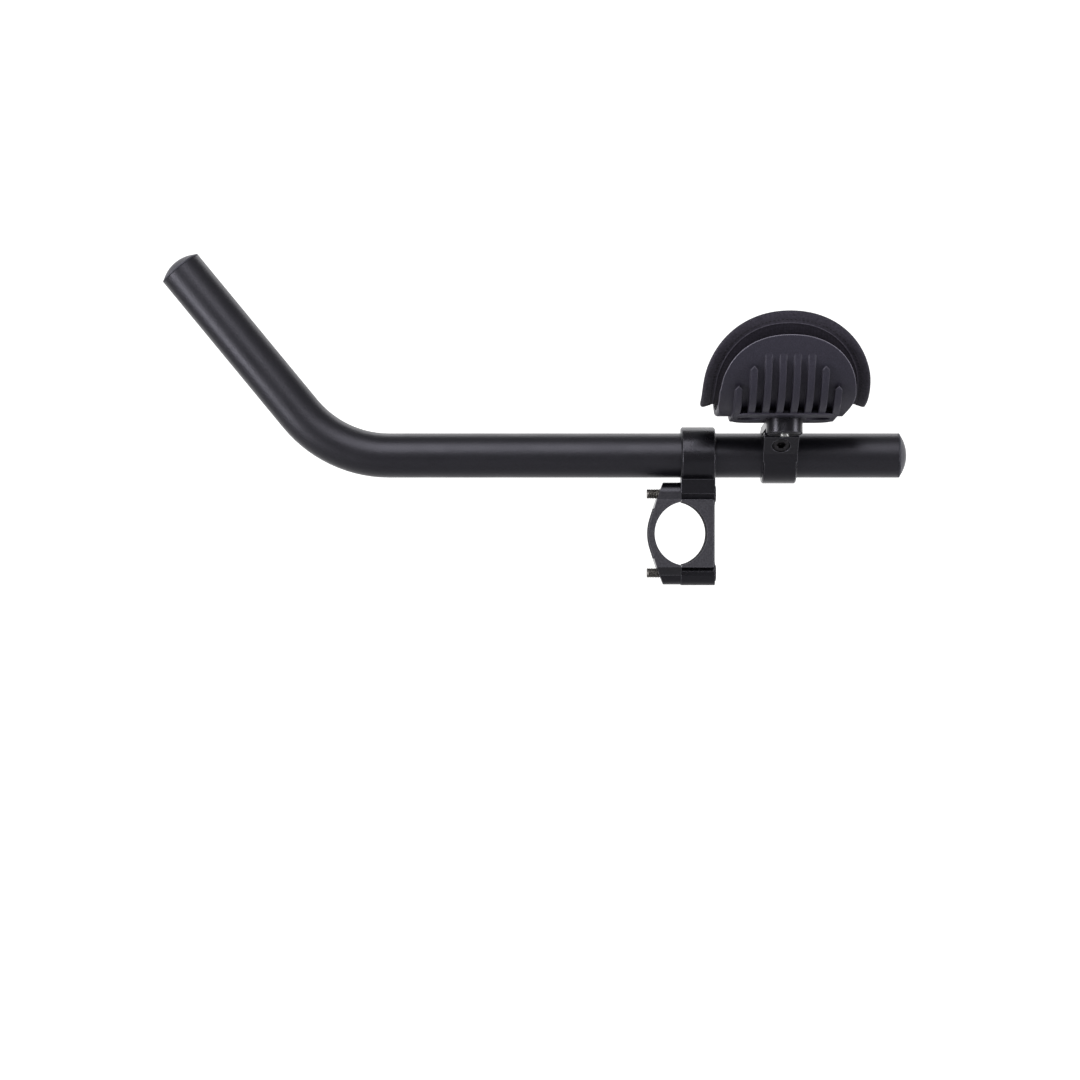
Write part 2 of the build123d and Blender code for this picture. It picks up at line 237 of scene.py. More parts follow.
# %% The grain group
patch_scale = 55.0
grain_detail = 3.0
grain_span = (0.32, 0.68)
patch_span = (0.3, 0.7)
grain_group, given, result = new_group(
    "fine_grain",
    [("Dark", "Color"), ("Light", "Color"), ("Grain Scale", "Float"),
     ("Low Roughness", "Float"), ("High Roughness", "Float")],
    [("Colour", "Color"), ("Roughness", "Float"), ("Height", "Float")],
)
spot = grain_group.nodes.new("ShaderNodeTexCoord")
speck = grain_group.nodes.new("ShaderNodeTexNoise")
speck.inputs["Detail"].default_value = grain_detail
patch = grain_group.nodes.new("ShaderNodeTexNoise")
patch.inputs["Scale"].default_value = patch_scale
link = grain_group.links.new
link(spot.outputs["Object"], speck.inputs["Vector"])
link(spot.outputs["Object"], patch.inputs["Vector"])
link(given["Grain Scale"], speck.inputs["Scale"])
grains = ramp(grain_group, speck.outputs["Fac"], *grain_span)
patches = ramp(grain_group, patch.outputs["Fac"], *patch_span)
link(blend(grain_group, "RGBA", grains, given["Dark"], given["Light"]), result["Colour"])
gloss = blend(grain_group, "FLOAT", patches, given["Low Roughness"], given["High Roughness"])
link(gloss, result["Roughness"])
link(grains, result["Height"])
print("group", grain_group.name)

# %% [markdown]
# ### Soft edges
# No real edge is perfectly sharp: the deburred or moulded corner catches the light as a thin bright line.
# The Bevel node gives the normal of a rounded edge without more geometry, and where that normal turns
# away from the flat one there is an edge. On that edge mask a paler colour is painted: a painted highlight
# that strengthens the thin bright line.

# %% The soft edge group
bevel_samples = 6
edge_span = (0.995, 0.8)
edge_group, given, result = new_group(
    "soft_edge", [("Radius", "Float")], [("Normal", "Vector"), ("Edge", "Float")]
)
rounded = edge_group.nodes.new("ShaderNodeBevel")
rounded.samples = bevel_samples
flat = edge_group.nodes.new("ShaderNodeNewGeometry")
turn = edge_group.nodes.new("ShaderNodeVectorMath")
turn.operation = "DOT_PRODUCT"
link = edge_group.links.new
link(given["Radius"], rounded.inputs["Radius"])
link(rounded.outputs["Normal"], turn.inputs[0])
link(flat.outputs["Normal"], turn.inputs[1])
link(rounded.outputs["Normal"], result["Normal"])
link(ramp(edge_group, turn.outputs["Value"], *edge_span), result["Edge"])
print("group", edge_group.name)

# %% [markdown]
# ### Faces of the clamp
# The clamp is sawn from an extruded bar, and the saw's faces are blasted: paler and more matt than the
# smooth outside of the bar. The bore for the handlebar is turned and left dull, so that it grips. These
# faces could be picked one by one and given materials of their own, but the CAD mesh stays as it is. So
# the part's own normal and place tell them apart: sawn ones face along Y below the ring, and the bore
# lies near the Y axis.

# %% The clamp face group
bore_span = (0.6, 0.3)
clamp_group, given, result = new_group(
    "clamp_faces",
    [("Top", "Float"), ("Bottom", "Float"), ("Facing", "Float"), ("Bore Radius", "Float")],
    [("Sawn", "Float"), ("Bore", "Float")],
)
link = clamp_group.links.new
spot = clamp_group.nodes.new("ShaderNodeTexCoord")
facing = clamp_group.nodes.new("ShaderNodeSeparateXYZ")
link(spot.outputs["Normal"], facing.inputs[0])
place = clamp_group.nodes.new("ShaderNodeSeparateXYZ")
link(spot.outputs["Object"], place.inputs[0])
squarely = math_node(clamp_group, "ABSOLUTE", facing.outputs["Y"])
below = math_node(clamp_group, "LESS_THAN", place.outputs["Z"], given["Top"])
above = math_node(clamp_group, "GREATER_THAN", place.outputs["Z"], given["Bottom"])
across = math_node(clamp_group, "GREATER_THAN", squarely, given["Facing"])
sawn = math_node(clamp_group, "MULTIPLY", across, math_node(clamp_group, "MULTIPLY", below, above))
level = math_node(clamp_group, "POWER", place.outputs["X"], 2.0)
upright = math_node(clamp_group, "POWER", place.outputs["Z"], 2.0)
from_axis = math_node(clamp_group, "SQRT", math_node(clamp_group, "ADD", level, upright))
inside = math_node(clamp_group, "LESS_THAN", from_axis, given["Bore Radius"])
bore = math_node(clamp_group, "MULTIPLY", inside, ramp(clamp_group, squarely, *bore_span))
link(sawn, result["Sawn"])
link(bore, result["Bore"])
print("group", clamp_group.name)

# %% [markdown]
# ## Hard finishes
# All hard finishes are one recipe: grain for colour, gloss and bump, a soft edge for the normal, a paler
# colour on the edges as a painted highlight, and other grains for the faces of the clamp. What differs is
# written where each finish is made. A value that is the same all over is set on the shader itself, such as
# the violet cast of black anodising in its highlights.

# %% The recipe for a hard finish
def place_group(tree, group, values):
    """A node group in a material, with its own values."""
    node = tree.nodes.new("ShaderNodeGroup")
    node.node_tree = group
    for label, value in values.items():
        node.inputs[label].default_value = value
    return node


violet_black = (0.88, 0.86, 1.0, 1)


def hard_finish(name, grain, edge_radius, edge_highlight_colour, bump, shader, faces=None, sawn=None, bore=None):
    """A grained material with a painted highlight on its soft edges, and other grains for the clamp."""
    material = bpy.data.materials.new(name)
    material.use_nodes = True
    tree = material.node_tree
    body = tree.nodes["Principled BSDF"]
    for label, value in shader.items():
        body.inputs[label].default_value = value
    grains = place_group(tree, grain_group, grain)
    colour, roughness = grains.outputs["Colour"], grains.outputs["Roughness"]
    if faces:
        shares = place_group(tree, clamp_group, faces)
        for label, finish in (("Sawn", sawn), ("Bore", bore)):
            other = place_group(tree, grain_group, finish)
            colour = blend(tree, "RGBA", shares.outputs[label], colour, other.outputs["Colour"])
            roughness = blend(tree, "FLOAT", shares.outputs[label], roughness, other.outputs["Roughness"])
    edges = place_group(tree, edge_group, {"Radius": edge_radius})
    # The paler edge colour is a painted highlight along the rounded edges.
    painted_edge_highlight = blend(tree, "RGBA", edges.outputs["Edge"], colour, edge_highlight_colour)
    tree.links.new(painted_edge_highlight, body.inputs["Base Color"])
    tree.links.new(roughness, body.inputs["Roughness"])
    relief = tree.nodes.new("ShaderNodeBump")
    relief.inputs["Distance"].default_value = bump
    relief.inputs["Strength"].default_value = 1.0
    tree.links.new(grains.outputs["Height"], relief.inputs["Height"])
    tree.links.new(edges.outputs["Normal"], relief.inputs["Normal"])
    tree.links.new(relief.outputs["Normal"], body.inputs["Normal"])
    return material


def paint(material, *names):
    """Gives a material to CAD parts, by their names."""
    for name in names:
        nodes[name].data.materials[0] = material
    print(material.name, "on", ", ".join(names))


# %% [markdown]
# ### Anodised tube
# The tube is black anodised alloy with a satin surface: a dark, slightly blue colour, broad soft
# highlights and a grain that is only just visible. A near-black base under a strong, fairly rough
# reflection gives that. A paler base would lift the shaded half as well, and that half stays nearly black
# in the photograph.

# %% Tube finish
tube_black = hard_finish(
    "satin_black_tube",
    {"Dark": (0.002, 0.0019, 0.0027, 1), "Light": (0.0065, 0.0062, 0.0085, 1), "Grain Scale": 1500.0,
     "Low Roughness": 0.36, "High Roughness": 0.42},
    edge_radius=0.0003, edge_highlight_colour=(0.05, 0.048, 0.06, 1), bump=0.000025,
    shader={"Specular IOR Level": 0.66, "Specular Tint": violet_black},
)
paint(tube_black, "extension_tube")

# %% [markdown]
# ### End plugs
# The domed plugs are moulded plastic, a little paler and more matt than the tube. A matt dome has no
# clear highlight, so here the base colour carries the look and the reflection only softens it.

# %% Plug finish
plug_black = hard_finish(
    "plug_moulding",
    {"Dark": (0.035, 0.035, 0.043, 1), "Light": (0.055, 0.055, 0.067, 1), "Grain Scale": 1800.0,
     "Low Roughness": 0.42, "High Roughness": 0.5},
    edge_radius=0.0004, edge_highlight_colour=(0.06, 0.06, 0.075, 1), bump=0.00002,
    shader={"Specular IOR Level": 0.55, "Specular Tint": violet_black},
)
paint(plug_black, "front_end_plug", "rear_end_plug")

# %% [markdown]
# ### Blasted alloy
# The clamp and the armrest strap are extruded, machined and anodised black. Outside they are smooth and
# darker than the tube, and the sawn faces of the clamp are grainy and paler. The thin bright lines along
# the broken edges are a painted highlight: a paler colour on the edge mask. One recipe serves all three
# parts. Each half of the clamp has its own height below which the sawn faces lie and its own share by
# which they have to face along Y, and the strap has no such faces.

# %% Clamp and strap finish
blasted_grain = {"Dark": (0.0185, 0.0179, 0.0212, 1), "Light": (0.043, 0.0418, 0.0485, 1),
                 "Grain Scale": 1100.0, "Low Roughness": 0.56, "High Roughness": 0.66}
dull_bore = {"Dark": (0.004, 0.004, 0.005, 1), "Light": (0.012, 0.0118, 0.014, 1), "Grain Scale": 900.0,
             "Low Roughness": 0.95, "High Roughness": 1.0}
bore_radius = 0.0164
sawn_bottom = -0.0167
sawn_parts = {"bracket_body": (0.0163, 0.98), "clamp_cap": (0.0212, 0.55), "armrest_bracket": (-1.0, 0.98)}
for name, (sawn_top, facing_share) in sawn_parts.items():
    smooth_alloy = hard_finish(
        "smooth_alloy_" + name,
        {"Dark": (0.0015, 0.0014, 0.002, 1), "Light": (0.0045, 0.0043, 0.0057, 1), "Grain Scale": 1300.0,
         "Low Roughness": 0.24, "High Roughness": 0.3},
        edge_radius=0.0006, edge_highlight_colour=(0.13, 0.127, 0.147, 1), bump=0.000025,
        shader={"Specular IOR Level": 0.52, "Specular Tint": violet_black},
        faces={"Top": sawn_top, "Bottom": sawn_bottom, "Facing": facing_share, "Bore Radius": bore_radius},
        sawn=blasted_grain, bore=dull_bore,
    )
    paint(smooth_alloy, name)

# %% [markdown]
# ### Moulded cup
# The cup is injection moulded with a fine spark-eroded texture: matt, with a faint violet-grey sheen. Its
# rounded rim catches the light as a bright line, and that is painted on as a paler highlight than on the
# edges of its ribs. So the rim needs a mask of its own: the wings end in a rounded outline, and the formula
# of that outline, in the cup's own tilted frame, gives 1 on the rim and less inside it.

# %% The rim group
cup_length = 0.0654
cup_height = 0.0347
cup_crown_start = 0.0063
cup_offset = -0.0004
cup_squareness = 2.18
seat_height = 0.01415

swivel = next(joint for joint in frame["joints"] if joint["name"] == "armrest_swivel")
seat_up = Vector(swivel["axis"])
seat_tilt = Vector((0, 0, 1)).rotation_difference(seat_up).to_matrix().to_4x4()
seat = Matrix.Translation(Vector(swivel["pos_m"]) + seat_up * seat_height) @ seat_tilt
to_seat = seat.inverted()

rim_group, given, result = new_group("cup_rim", [("Width", "Float")], [("Rim", "Float")])
link = rim_group.links.new
spot = rim_group.nodes.new("ShaderNodeTexCoord")
local = rim_group.nodes.new("ShaderNodeMapping")
local.inputs["Location"].default_value = to_seat.translation
local.inputs["Rotation"].default_value = to_seat.to_euler()
link(spot.outputs["Object"], local.inputs["Vector"])
place = rim_group.nodes.new("ShaderNodeSeparateXYZ")
link(local.outputs[0], place.inputs[0])
shifted = math_node(rim_group, "SUBTRACT", place.outputs["X"], cup_offset)
sideways = math_node(rim_group, "MULTIPLY", math_node(rim_group, "ABSOLUTE", shifted), 2 / cup_length)
risen = math_node(rim_group, "SUBTRACT", place.outputs["Z"], cup_crown_start)
upwards = math_node(rim_group, "MULTIPLY", risen, 1 / (cup_height - cup_crown_start))
upwards = math_node(rim_group, "MAXIMUM", upwards, 0.0)
powers = [math_node(rim_group, "POWER", value, cup_squareness) for value in (sideways, upwards)]
reach = math_node(rim_group, "POWER", math_node(rim_group, "ADD", *powers), 1 / cup_squareness)
start = math_node(rim_group, "SUBTRACT", 1.0, given["Width"])
link(math_node(rim_group, "GREATER_THAN", reach, start), result["Rim"])
print("group", rim_group.name)

# %% Cup finish
# The edge colours are painted highlights, paler on the rim than on the ribs.
cup_edge_highlight = (0.085, 0.08, 0.105, 1)
cup_rim_highlight = (0.3, 0.285, 0.35, 1)
rim_share = 0.06
cup_black = hard_finish(
    "moulded_cup",
    {"Dark": (0.0148, 0.0134, 0.022, 1), "Light": (0.027, 0.0245, 0.0386, 1), "Grain Scale": 1600.0,
     "Low Roughness": 0.5, "High Roughness": 0.58},
    edge_radius=0.0008, edge_highlight_colour=cup_edge_highlight, bump=0.00003,
    shader={"Specular IOR Level": 0.52, "Specular Tint": violet_black},
)
tree = cup_black.node_tree
painted_edge_highlight = tree.nodes["Principled BSDF"].inputs["Base Color"].links[0].from_node
# The rim mask swaps in the paler painted highlight.
rim = place_group(tree, rim_group, {"Width": rim_share})
rim_highlight = blend(tree, "RGBA", rim.outputs["Rim"], cup_edge_highlight, cup_rim_highlight)
tree.links.new(rim_highlight, painted_edge_highlight.inputs[mix_sockets["RGBA"]["second"]])
paint(cup_black, "armrest_cup")

# %% [markdown]
# ### The cup's mesh
# One narrow strip between two ribs comes out of the CAD model with its triangles folded over each other.
# Remeshing the whole cup would round off its ribs, so only that strip is touched, in a copy of the mesh
# that takes the cup's place. There, each folded strip is laid anew: its points are sorted along its two
# sides and joined from side to side, and each point gets the normal that the trough has there.

# %% Find the folded strips
trough_centre = 0.0531
cup_radius = 0.0516
radius_slack = 5e-5
askew = 0.9
fold_area = 1e-6
fewest_folds = 4
x_digits = 5
x_slack = 1e-5


def from_trough(place):
    """The way to a point of the cup from the middle line of the trough."""
    local = to_seat @ place
    return seat_tilt @ Vector((0, local.y, local.z - trough_centre))


cup_mesh = nodes["armrest_cup"].data
points = [vertex.co.copy() for vertex in cup_mesh.vertices]
normals = [vertex.normal.copy() for vertex in cup_mesh.vertices]
for loop in cup_mesh.loops:
    normals[loop.vertex_index] = cup_mesh.corner_normals[loop.index].vector.copy()
on_wall = [abs(from_trough(point).length - cup_radius) < radius_slack for point in points]
wall = [face for face in cup_mesh.polygons if all(on_wall[corner] for corner in face.vertices)]


def strip_of(face):
    """Where a face of the wall lies: its range along X, and whether it is on the near side."""
    along = [points[corner].x for corner in face.vertices]
    return round(min(along), x_digits), round(max(along), x_digits), (to_seat @ face.center).y < 0


folds = Counter()
for face in wall:
    if face.area > fold_area and face.normal.dot(from_trough(face.center).normalized()) < askew:
        folds[strip_of(face)] += 1
strips = sorted(strip for strip, count in folds.items() if count >= fewest_folds)
print("folded strips", strips)


# %% Lay the strips anew
def strip_triangles(corners):
    """Triangles between the two sides of a strip that runs up the cup."""
    middle = sum(points[corner].x for corner in corners) / len(corners)
    sides = [[], []]
    for corner in sorted(corners, key=lambda corner: points[corner].z):
        sides[points[corner].x > middle].append(corner)
    (near, *near_rest), (far, *far_rest) = sides
    triangles = []
    while near_rest or far_rest:
        if not far_rest or near_rest and points[near_rest[0]].z < points[far_rest[0]].z:
            triangles.append((near, far, near_rest[0]))
            near = near_rest.pop(0)
        else:
            triangles.append((near, far, far_rest[0]))
            far = far_rest.pop(0)
    return triangles


def faces_out(triangle):
    """Whether a triangle faces away from the middle line of the trough."""
    a, b, c = (points[corner] for corner in triangle)
    return (b - a).cross(c - a).dot(from_trough(a)) > 0


dropped = set()
laid = []
for low, high, near_side in strips:
    inside = []
    for face in wall:
        face_low, face_high, side = strip_of(face)
        if face_low >= low - x_slack and face_high <= high + x_slack and side == near_side:
            inside.append(face)
    corners = {corner for face in inside for corner in face.vertices}
    anew = strip_triangles(corners)
    print("strip", low, high, len(inside), "faces,", len(anew), "new ones")
    if len(anew) == len(inside):
        for corner in corners:
            normals[corner] = from_trough(points[corner]).normalized()
        dropped.update(face.index for face in inside)
        laid += [triangle if faces_out(triangle) else triangle[::-1] for triangle in anew]

# %% The mended cup
triangles = [tuple(face.vertices) for face in cup_mesh.polygons if face.index not in dropped] + laid
mended = bpy.data.meshes.new("armrest_cup_moulded")
mended.from_pydata(points, [], triangles)
mended.normals_split_custom_set_from_vertices(normals)
mended.materials.append(cup_black)
cup = bpy.data.objects.new("armrest_cup_moulded", mended)
scene.collection.objects.link(cup)
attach(cup, "armrest")
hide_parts("armrest_cup")
print(cup.name, len(mended.polygons), "faces,", len(laid), "of them laid anew")

# %% [markdown]
# ### Washer and screw steels
# The screws are black-oxide steel. On the threads the black has worn to a warm grey-brown. The washer and
# the screw that hold the cup are bright steel. All three are metals, whose colour is in their
# reflections, so only the colours and the gloss differ.

# %% Steel finishes
black_steel = hard_finish(
    "black_oxide_steel",
    {"Dark": (0.03, 0.029, 0.032, 1), "Light": (0.06, 0.058, 0.063, 1), "Grain Scale": 1400.0,
     "Low Roughness": 0.34, "High Roughness": 0.44},
    edge_radius=0.0002, edge_highlight_colour=(0.05, 0.048, 0.05, 1), bump=0.00002,
    shader={"Metallic": 1.0},
)
worn_thread = hard_finish(
    "worn_thread_steel",
    {"Dark": (0.11, 0.105, 0.1, 1), "Light": (0.24, 0.23, 0.22, 1), "Grain Scale": 1400.0,
     "Low Roughness": 0.36, "High Roughness": 0.48},
    edge_radius=0.0001, edge_highlight_colour=(0.24, 0.23, 0.22, 1), bump=0.00002,
    shader={"Metallic": 1.0},
)
bright_steel = hard_finish(
    "bright_steel",
    {"Dark": (0.5, 0.5, 0.5, 1), "Light": (0.66, 0.66, 0.65, 1), "Grain Scale": 1400.0,
     "Low Roughness": 0.2, "High Roughness": 0.3},
    edge_radius=0.0002, edge_highlight_colour=(0.75, 0.75, 0.74, 1), bump=0.00001,
    shader={"Metallic": 1.0},
)
paint(bright_steel, "cup_washer")

# %% [markdown]
# ## Fabrics
# The pad's cover is a fine black knit over foam, its edge is bound with a smoother tape, and hook tape
# holds it in the cup. All are threads that go over and under each other. Real threads as meshes would be
# far too many faces, so a weave group makes the bump and the colour: two crossed sets of bands in the
# part's own coordinates, with noise to break them up.

# %% The weave group
fuzz_scale = 900.0
fuzz_span = (0.3, 0.8)
thread_span = (0.0, 1.6)
weave_group, given, result = new_group(
    "weave",
    [("Dark", "Color"), ("Light", "Color"), ("Thread Scale", "Float")],
    [("Colour", "Color"), ("Height", "Float")],
)
link = weave_group.links.new
spot = weave_group.nodes.new("ShaderNodeTexCoord")
bands = []
for direction in ("X", "Z"):
    band = weave_group.nodes.new("ShaderNodeTexWave")
    band.bands_direction = direction
    band.inputs["Distortion"].default_value = 1.5
    band.inputs["Detail Scale"].default_value = 2.0
    link(spot.outputs["Object"], band.inputs["Vector"])
    link(given["Thread Scale"], band.inputs["Scale"])
    bands.append(band.outputs["Fac"])
fuzz = weave_group.nodes.new("ShaderNodeTexNoise")
fuzz.inputs["Scale"].default_value = fuzz_scale
link(spot.outputs["Object"], fuzz.inputs["Vector"])
crossed = math_node(weave_group, "MULTIPLY", *bands)
threads = math_node(weave_group, "ADD", crossed, ramp(weave_group, fuzz.outputs["Fac"], *fuzz_span))
height = ramp(weave_group, threads, *thread_span)
link(blend(weave_group, "RGBA", height, given["Dark"], given["Light"]), result["Colour"])
link(height, result["Height"])
print("group", weave_group.name)


# %% The recipe for a fabric
def fabric(name, weave, bump, shader):
    """A woven material."""
    material = bpy.data.materials.new(name)
    material.use_nodes = True
    tree = material.node_tree
    body = tree.nodes["Principled BSDF"]
    for label, value in shader.items():
        body.inputs[label].default_value = value
    threads = place_group(tree, weave_group, weave)
    tree.links.new(threads.outputs["Colour"], body.inputs["Base Color"])
    relief = tree.nodes.new("ShaderNodeBump")
    relief.inputs["Distance"].default_value = bump
    tree.links.new(threads.outputs["Height"], relief.inputs["Height"])
    tree.links.new(relief.outputs["Normal"], body.inputs["Normal"])
    return material


cover_knit = fabric(
    "cover_knit",
    {"Dark": (0.0045, 0.0036, 0.007, 1), "Light": (0.0148, 0.012, 0.021, 1), "Thread Scale": 420.0},
    bump=0.0002,
    shader={"Roughness": 0.9, "Specular IOR Level": 0.2, "Sheen Weight": 0.06, "Sheen Roughness": 0.5},
)
edge_binding = fabric(
    "edge_binding",
    {"Dark": (0.0195, 0.0172, 0.026, 1), "Light": (0.0525, 0.0468, 0.0665, 1), "Thread Scale": 520.0},
    bump=0.00015,
    shader={"Roughness": 0.85, "Specular IOR Level": 0.25, "Sheen Weight": 0.1, "Sheen Roughness": 0.45},
)
seam_piping = fabric(
    "seam_piping",
    {"Dark": (0.045, 0.041, 0.056, 1), "Light": (0.1, 0.092, 0.12, 1), "Thread Scale": 700.0},
    bump=0.0001, shader={"Roughness": 0.8, "Specular IOR Level": 0.25},
)
stitch_thread = fabric(
    "stitch_thread",
    {"Dark": (0.004, 0.0036, 0.005, 1), "Light": (0.014, 0.0125, 0.017, 1), "Thread Scale": 900.0},
    bump=0.00005, shader={"Roughness": 0.7, "Specular IOR Level": 0.3},
)
hook_tape = fabric(
    "hook_tape",
    {"Dark": (0.008, 0.008, 0.008, 1), "Light": (0.03, 0.03, 0.03, 1), "Thread Scale": 300.0},
    bump=0.0004, shader={"Roughness": 0.8},
)
paint(hook_tape, "near_hook_patch", "far_hook_patch", "floor_hook_patches")

# %% [markdown]
# ## The arm pad
# The pad is foam in a sewn cover, bent into the trough of the cup. Its edge is bound all round, and a
# seam runs about 6 mm in from the rim on both faces. It could be modelled as a swollen solid by hand, but
# a cloth simulation gives a truer swell: a slightly small cover is blown up by pressure while its seams
# are held. First the flat pattern: an oval whose points are wrapped round the trough.

# %% The pad's pattern
pad_length = 0.0826
pad_height = 0.0464
pad_outside = 0.0474
pad_thickness = 0.008
crown_start = 0.003
squareness = 2.12
pad_shift = -0.0007
far_skew = 0.09
waist = 0.0008
waist_angle = 0.7
quarter_steps = 400
top_angle = acos((trough_centre - pad_height) / pad_outside)


def half_length(angle):
    """Half the pad's length at an angle from the bottom of the trough."""
    rise = (trough_centre - pad_outside * cos(angle) - crown_start) / (pad_height - crown_start)
    drawn_in = waist * max(0.0, 1 - (angle / waist_angle) ** 2)
    return pad_length / 2 * max(0.0, 1 - max(0.0, rise) ** squareness) ** (1 / squareness) - drawn_in


quarter = []
for step in range(quarter_steps + 1):
    angle = top_angle * sin(pi / 2 * step / quarter_steps)
    quarter.append((half_length(angle), pad_outside * angle))
outline = quarter[:-1]
outline += [(-x, across) for x, across in reversed(quarter)][:-1]
outline += [(-x, -across) for x, across in quarter][:-1]
outline += [(x, -across) for x, across in reversed(quarter)]
travel = [0.0]
for (x0, y0), (x1, y1) in zip(outline, outline[1:]):
    travel.append(travel[-1] + ((x1 - x0) ** 2 + (y1 - y0) ** 2) ** 0.5)
print("pattern", round(2 * pad_outside * top_angle, 4), "m across, rim", round(travel[-1], 4), "m long")


# %% Points on the pattern
tangent_share = 0.004


def rim_point(share):
    """The point of the rim at a share of the way round."""
    reach = (share % 1.0) * travel[-1]
    after = min(max(bisect_left(travel, reach), 1), len(travel) - 1)
    (x0, y0), (x1, y1) = outline[after - 1], outline[after]
    part = (reach - travel[after - 1]) / (travel[after] - travel[after - 1])
    return Vector((x0 + (x1 - x0) * part, y0 + (y1 - y0) * part))


def inset_point(share, inset):
    """The point at a distance in from the rim."""
    along = rim_point(share + tangent_share) - rim_point(share - tangent_share)
    inwards = Vector((-along.y, along.x)).normalized()
    return rim_point(share) + inwards * inset


def wrapped(point, depth):
    """A point of the pattern, bent round the trough at a depth below the pad's outside."""
    angle = point.y / pad_outside
    radius = pad_outside - depth
    across = radius * sin(angle)
    along = point.x + pad_shift + far_skew * max(0.0, across)
    return seat @ Vector((along, across, trough_centre - radius * cos(angle)))


print("rim middle", tuple(round(value, 4) for value in wrapped(rim_point(0.0), 0.0)))

# %% [markdown]
# The cover is a mesh of square rings: a grid for each face, whose rings run parallel to the rim, and a
# rounded strip between the two grids. So the seams are whole rings of edges and stay clean. The strip is
# a tight round at the back and a long, slack one at the front, as the binding is pulled over from behind.
# The start is a little thinner than the finished pad, because it will swell.

# %% The cover before it swells
face_rings = 14
rim_rows = 7
rim_inset = {"back": 0.0013, "front": 0.0045}
seam_inset = 0.0062
seam_order = 2
inner_insets = (seam_inset, 0.0078, 0.0098)
edge_rings = seam_order + len(inner_insets)
swell_room = 0.0003
seam_dip = {1: 0.0006, 2: 0.0019, 3: 0.0008}
corner_share = 1 / 8


def face_depth(face, ring):
    """How deep a ring of a face lies below the pad's outside: the seam is pulled in."""
    dip = swell_room + seam_dip.get(face_rings - ring, 0.0)
    return dip if face == "back" else pad_thickness - dip


def ring_inset(face, ring):
    """Where a ring of a face lies: set insets near the rim, then even steps to the middle."""
    order = face_rings - ring
    if order < seam_order:
        return rim_inset[face] + (seam_inset - rim_inset[face]) * order / seam_order, 1.0
    if order < edge_rings:
        return inner_insets[order - seam_order], 1.0
    return inner_insets[-1], ring / (face_rings - edge_rings + 1)


def ring_places(ring):
    """The grid places of one square ring, in order round it, each with its share of the way."""
    side = range(-ring, ring)
    walk = [(ring, step) for step in side] + [(-step, ring) for step in side]
    walk += [(-ring, -step) for step in side] + [(step, -ring) for step in side]
    return [(place, order / len(walk) - corner_share) for order, place in enumerate(walk)]


cover = bmesh.new()
held = cover.verts.layers.deform.verify()
face_verts = {}
for face in ("back", "front"):
    face_verts[face, (0, 0)] = cover.verts.new(wrapped(Vector((0, 0)), face_depth(face, 0)))
    for ring in range(1, face_rings + 1):
        depth = face_depth(face, ring)
        inset, shrink = ring_inset(face, ring)
        for place, share in ring_places(ring):
            spot = inset_point(share, inset) * shrink
            face_verts[face, place] = cover.verts.new(wrapped(spot, depth))
print(len(face_verts), "points on the two faces")

# %% Faces, rim and seams
def grid_faces(face):
    """The squares of one face, each with the ring that it lies in."""
    made = []
    for i in range(-face_rings, face_rings):
        for j in range(-face_rings, face_rings):
            corners = [(i, j), (i + 1, j), (i + 1, j + 1), (i, j + 1)]
            ring = max(abs(2 * i + 1), abs(2 * j + 1)) // 2 + 1
            made.append((cover.faces.new([face_verts[face, corner] for corner in corners]), ring))
    return made


rim_walk = ring_places(face_rings)
rows = [[face_verts["back", place] for place, share in rim_walk]]
back_edge = swell_room + rim_inset["back"]
front_reach = pad_thickness - swell_room - back_edge
for row in range(1, rim_rows + 1):
    lean = pi * row / (rim_rows + 1)
    side, reach = ("back", rim_inset["back"]) if lean < pi / 2 else ("front", front_reach)
    depth = back_edge - reach * cos(lean)
    inset = rim_inset[side] * (1 - sin(lean))
    rows.append([cover.verts.new(wrapped(inset_point(share, inset), depth)) for place, share in rim_walk])
rows.append([face_verts["front", place] for place, share in rim_walk])
strip = []
for near, far in zip(rows, rows[1:]):
    for order in range(len(near)):
        after = (order + 1) % len(near)
        strip.append(cover.faces.new((near[order], near[after], far[after], far[order])))
seam_ring = face_rings - seam_order
for face in ("back", "front"):
    for quad, ring in grid_faces(face):
        quad.material_index = 1 if ring > seam_ring else 0
for quad in strip:
    quad.material_index = 1
for (face, place), vert in face_verts.items():
    ring = max(abs(place[0]), abs(place[1]))
    taped = face == "back" and ring < face_rings - edge_rings
    if ring == seam_ring or taped:
        vert[held][0] = 1.0
bmesh.ops.recalc_face_normals(cover, faces=cover.faces)
print(len(cover.verts), "points and", len(cover.faces), "faces in the cover")

# %% The cover as an object
cover.verts.index_update()
seam_points = {}
for face in ("back", "front"):
    seam_points[face] = [face_verts[face, place].index for place, share in ring_places(seam_ring)]
band_points = {vert.index for row in rows for vert in row}
cover_mesh = bpy.data.meshes.new("arm_pad_cover")
cover.to_mesh(cover_mesh)
cover.free()
for material in (cover_knit, edge_binding):
    cover_mesh.materials.append(material)
pad = bpy.data.objects.new("arm_pad_cover", cover_mesh)
pad.vertex_groups.new(name="held")
scene.collection.objects.link(pad)
for polygon in cover_mesh.polygons:
    polygon.use_smooth = True
print(pad.name, "with seams of", len(seam_points["front"]), "points")

# %% [markdown]
# Now the cloth. Pressure pushes the cover out, gravity is off, and the seams and the taped back are
# pinned. After twenty frames the swell is read back and capped, so that no point strays from the space of
# the pad.

# %% Swell
least_move = 1e-9


